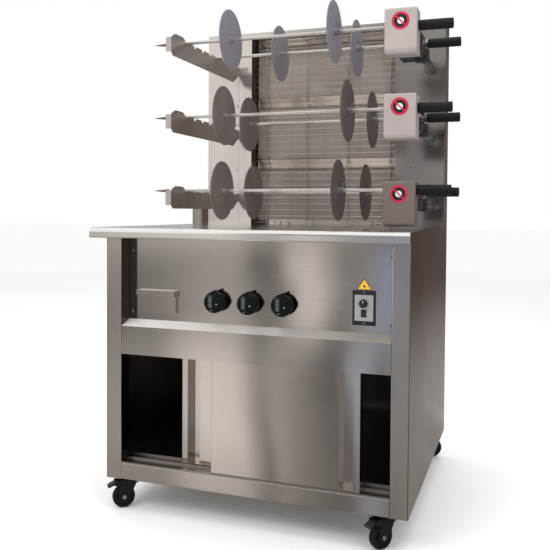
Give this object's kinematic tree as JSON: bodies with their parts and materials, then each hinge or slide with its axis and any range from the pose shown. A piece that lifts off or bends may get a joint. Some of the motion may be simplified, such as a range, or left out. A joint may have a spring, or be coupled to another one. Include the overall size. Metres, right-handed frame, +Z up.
{
  "type": "vertical rotisserie broiler",
  "caption": "Wheeled stainless gas rotisserie with an upright burner wall, paired horizontal spits with discs, gas knobs, drip drawer and sliding cabinet doors.",
  "frame": {"origin": "middle of the footprint, on the floor", "axes": "+X to the right as seen from the front, +Y to the back, +Z up"},
  "size_m": [1.132, 1.0008, 1.752],
  "materials": {
    "frame_steel": "vertical brushed satin",
    "panel_steel": "brushed satin",
    "counter_steel": "bright brushed",
    "door_steel": "vertical brushed satin",
    "housing_steel": "mirror-like with fine scratches",
    "burner_steel": "heat-tinted satin",
    "ceramic": "matt, finely perforated ceramic",
    "tube_steel": "bright drawn tube",
    "drive_black": "black satin",
    "hood_satin": "light satin",
    "chain_steel": "oiled steel",
    "black_plastic": "black",
    "gas_steel": "plain",
    "caster_black": "black",
    "screw_steel": "zinc plated",
    "spit_steel": "bright drawn rod",
    "grip_plastic": "black, slightly glossy",
    "disc_steel": "dull rolled sheet",
    "knob_plastic": "black",
    "wheel_rubber": "black"
  },
  "bodies": {
    "cabinet": {"cabinet_frame": "frame_steel", "side_panels": "panel_steel", "back_panel": "panel_steel", "control_panel": "panel_steel", "fascia": "panel_steel", "door_tracks": "panel_steel", "cabinet_floor": "panel_steel", "countertop": "counter_steel", "drawer_runners": "door_steel", "housing_columns": "housing_steel", "housing_shell": "housing_steel", "spit_arms": "housing_steel", "burner_bodies": "burner_steel", "burner_guard": "burner_steel", "burner_plaques": "ceramic", "support_tubes": "tube_steel", "drive_carriers": "drive_black", "gear_motors": "drive_black", "drive_hoods": "hood_satin", "drive_chains": "chain_steel", "electric_plate": "black_plastic", "gas_manifold": "gas_steel", "caster_plates": "caster_black", "fasteners": "screw_steel"},
    "spit_low_front": {"spit_low_front": "spit_steel", "spit_handle_low_front": "grip_plastic"},
    "sliding_disc_low_front": {"sliding_disc_low_front": "disc_steel"},
    "spit_low_rear": {"spit_low_rear": "spit_steel", "spit_handle_low_rear": "grip_plastic"},
    "sliding_disc_low_rear": {"sliding_disc_low_rear": "disc_steel"},
    "spit_middle_front": {"spit_middle_front": "spit_steel", "spit_handle_middle_front": "grip_plastic"},
    "sliding_disc_middle_front": {"sliding_disc_middle_front": "disc_steel"},
    "spit_middle_rear": {"spit_middle_rear": "spit_steel", "spit_handle_middle_rear": "grip_plastic"},
    "sliding_disc_middle_rear": {"sliding_disc_middle_rear": "disc_steel"},
    "spit_top_front": {"spit_top_front": "spit_steel", "spit_handle_top_front": "grip_plastic"},
    "sliding_disc_top_front": {"sliding_disc_top_front": "disc_steel"},
    "spit_top_rear": {"spit_top_rear": "spit_steel", "spit_handle_top_rear": "grip_plastic"},
    "sliding_disc_top_rear": {"sliding_disc_top_rear": "disc_steel"},
    "front_door": {"front_door": "door_steel"},
    "rear_door": {"rear_door": "door_steel"},
    "drip_drawer": {"drip_drawer": "door_steel"},
    "gas_knob_1": {"gas_knob_1": "knob_plastic"},
    "gas_knob_2": {"gas_knob_2": "knob_plastic"},
    "gas_knob_3": {"gas_knob_3": "knob_plastic"},
    "speed_knob": {"speed_knob": "black_plastic"},
    "rocker_switch": {"rocker_switch": "black_plastic"},
    "caster_fork_front_left": {"caster_fork_front_left": "caster_black"},
    "caster_wheel_front_left": {"caster_wheel_front_left": "wheel_rubber"},
    "brake_pedal_front_left": {"brake_pedal_front_left": "caster_black"},
    "caster_fork_front_right": {"caster_fork_front_right": "caster_black"},
    "caster_wheel_front_right": {"caster_wheel_front_right": "wheel_rubber"},
    "brake_pedal_front_right": {"brake_pedal_front_right": "caster_black"},
    "caster_fork_rear_left": {"caster_fork_rear_left": "caster_black"},
    "caster_wheel_rear_left": {"caster_wheel_rear_left": "wheel_rubber"},
    "caster_fork_rear_right": {"caster_fork_rear_right": "caster_black"},
    "caster_wheel_rear_right": {"caster_wheel_rear_right": "wheel_rubber"}
  },
  "joints": [
    {"name": "spit_low_front_spin", "type": "hinge", "parent": "cabinet", "child": "spit_low_front", "pos_m": [-0.011, -0.1465, 1.068], "axis": [1, 0, 0], "continuous": true},
    {"name": "sliding_disc_low_front_slide", "type": "slide", "parent": "spit_low_front", "child": "sliding_disc_low_front", "axis": [1, 0, 0], "range_m": [-0.384, 0.118]},
    {"name": "spit_low_rear_spin", "type": "hinge", "parent": "cabinet", "child": "spit_low_rear", "pos_m": [-0.011, 0.1255, 1.068], "axis": [1, 0, 0], "continuous": true},
    {"name": "sliding_disc_low_rear_slide", "type": "slide", "parent": "spit_low_rear", "child": "sliding_disc_low_rear", "axis": [1, 0, 0], "range_m": [-0.403, 0.081]},
    {"name": "spit_middle_front_spin", "type": "hinge", "parent": "cabinet", "child": "spit_middle_front", "pos_m": [-0.011, -0.1465, 1.336], "axis": [1, 0, 0], "continuous": true},
    {"name": "sliding_disc_middle_front_slide", "type": "slide", "parent": "spit_middle_front", "child": "sliding_disc_middle_front", "axis": [1, 0, 0], "range_m": [-0.407, 0.088]},
    {"name": "spit_middle_rear_spin", "type": "hinge", "parent": "cabinet", "child": "spit_middle_rear", "pos_m": [-0.011, 0.1255, 1.336], "axis": [1, 0, 0], "continuous": true},
    {"name": "sliding_disc_middle_rear_slide", "type": "slide", "parent": "spit_middle_rear", "child": "sliding_disc_middle_rear", "axis": [1, 0, 0], "range_m": [-0.445, 0.058]},
    {"name": "spit_top_front_spin", "type": "hinge", "parent": "cabinet", "child": "spit_top_front", "pos_m": [-0.011, -0.1465, 1.604], "axis": [1, 0, 0], "continuous": true},
    {"name": "sliding_disc_top_front_slide", "type": "slide", "parent": "spit_top_front", "child": "sliding_disc_top_front", "axis": [1, 0, 0], "range_m": [-0.335, 0.136]},
    {"name": "spit_top_rear_spin", "type": "hinge", "parent": "cabinet", "child": "spit_top_rear", "pos_m": [-0.011, 0.1255, 1.604], "axis": [1, 0, 0], "continuous": true},
    {"name": "sliding_disc_top_rear_slide", "type": "slide", "parent": "spit_top_rear", "child": "sliding_disc_top_rear", "axis": [1, 0, 0], "range_m": [-0.257, 0.119]},
    {"name": "front_door_slide", "type": "slide", "parent": "cabinet", "child": "front_door", "axis": [1, 0, 0], "range_m": [-0.3205, 0.089]},
    {"name": "rear_door_slide", "type": "slide", "parent": "cabinet", "child": "rear_door", "axis": [1, 0, 0], "range_m": [-0.1975, 0.212]},
    {"name": "drip_drawer_slide", "type": "slide", "parent": "cabinet", "child": "drip_drawer", "axis": [0, -1, 0], "range_m": [0, 0.28]},
    {"name": "gas_knob_1_turn", "type": "hinge", "parent": "cabinet", "child": "gas_knob_1", "pos_m": [-0.135, -0.4345, 0.704], "axis": [0, -1, 0], "range_deg": [0, 180]},
    {"name": "gas_knob_2_turn", "type": "hinge", "parent": "cabinet", "child": "gas_knob_2", "pos_m": [-0.022, -0.4345, 0.704], "axis": [0, -1, 0], "range_deg": [0, 180]},
    {"name": "gas_knob_3_turn", "type": "hinge", "parent": "cabinet", "child": "gas_knob_3", "pos_m": [0.091, -0.4345, 0.704], "axis": [0, -1, 0], "range_deg": [0, 180]},
    {"name": "speed_knob_turn", "type": "hinge", "parent": "cabinet", "child": "speed_knob", "pos_m": [0.342, -0.4245, 0.721], "axis": [0, 1, 0], "range_deg": [0, 280]},
    {"name": "rocker_switch_tilt", "type": "hinge", "parent": "cabinet", "child": "rocker_switch", "pos_m": [0.3425, -0.4215, 0.691], "axis": [1, 0, 0], "range_deg": [0, 18]},
    {"name": "caster_front_left_swivel", "type": "hinge", "parent": "cabinet", "child": "caster_fork_front_left", "pos_m": [-0.444, -0.4295, 0.09], "axis": [0, 0, 1], "continuous": true},
    {"name": "caster_front_left_roll", "type": "hinge", "parent": "caster_fork_front_left", "child": "caster_wheel_front_left", "pos_m": [-0.46392, -0.44621, 0.0375], "axis": [0.6428, -0.766, 0], "continuous": true},
    {"name": "brake_pedal_front_left_press", "type": "hinge", "parent": "caster_fork_front_left", "child": "brake_pedal_front_left", "pos_m": [-0.4823, -0.46164, 0.084], "axis": [0.6428, -0.766, 0], "range_deg": [0, 10]},
    {"name": "caster_front_right_swivel", "type": "hinge", "parent": "cabinet", "child": "caster_fork_front_right", "pos_m": [0.422, -0.4295, 0.09], "axis": [0, 0, 1], "continuous": true},
    {"name": "caster_front_right_roll", "type": "hinge", "parent": "caster_fork_front_right", "child": "caster_wheel_front_right", "pos_m": [0.40529, -0.44942, 0.0375], "axis": [0.766, -0.6428, 0], "continuous": true},
    {"name": "brake_pedal_front_right_press", "type": "hinge", "parent": "caster_fork_front_right", "child": "brake_pedal_front_right", "pos_m": [0.38986, -0.4678, 0.084], "axis": [0.766, -0.6428, 0], "range_deg": [0, 10]},
    {"name": "caster_rear_left_swivel", "type": "hinge", "parent": "cabinet", "child": "caster_fork_rear_left", "pos_m": [-0.444, 0.4305, 0.09], "axis": [0, 0, 1], "continuous": true},
    {"name": "caster_rear_left_roll", "type": "hinge", "parent": "caster_fork_rear_left", "child": "caster_wheel_rear_left", "pos_m": [-0.46652, 0.4435, 0.0375], "axis": [-0.5, -0.866, 0], "continuous": true},
    {"name": "caster_rear_right_swivel", "type": "hinge", "parent": "cabinet", "child": "caster_fork_rear_right", "pos_m": [0.422, 0.4305, 0.09], "axis": [0, 0, 1], "continuous": true},
    {"name": "caster_rear_right_roll", "type": "hinge", "parent": "caster_fork_rear_right", "child": "caster_wheel_rear_right", "pos_m": [0.44556, 0.44149, 0.0375], "axis": [-0.4226, 0.9063, 0], "continuous": true}
  ],
  "couplings": [
    {"joint": "spit_low_rear_spin", "follows": "spit_low_front_spin", "ratio": 1},
    {"joint": "spit_middle_rear_spin", "follows": "spit_middle_front_spin", "ratio": 1},
    {"joint": "spit_top_rear_spin", "follows": "spit_top_front_spin", "ratio": 1}
  ]
}
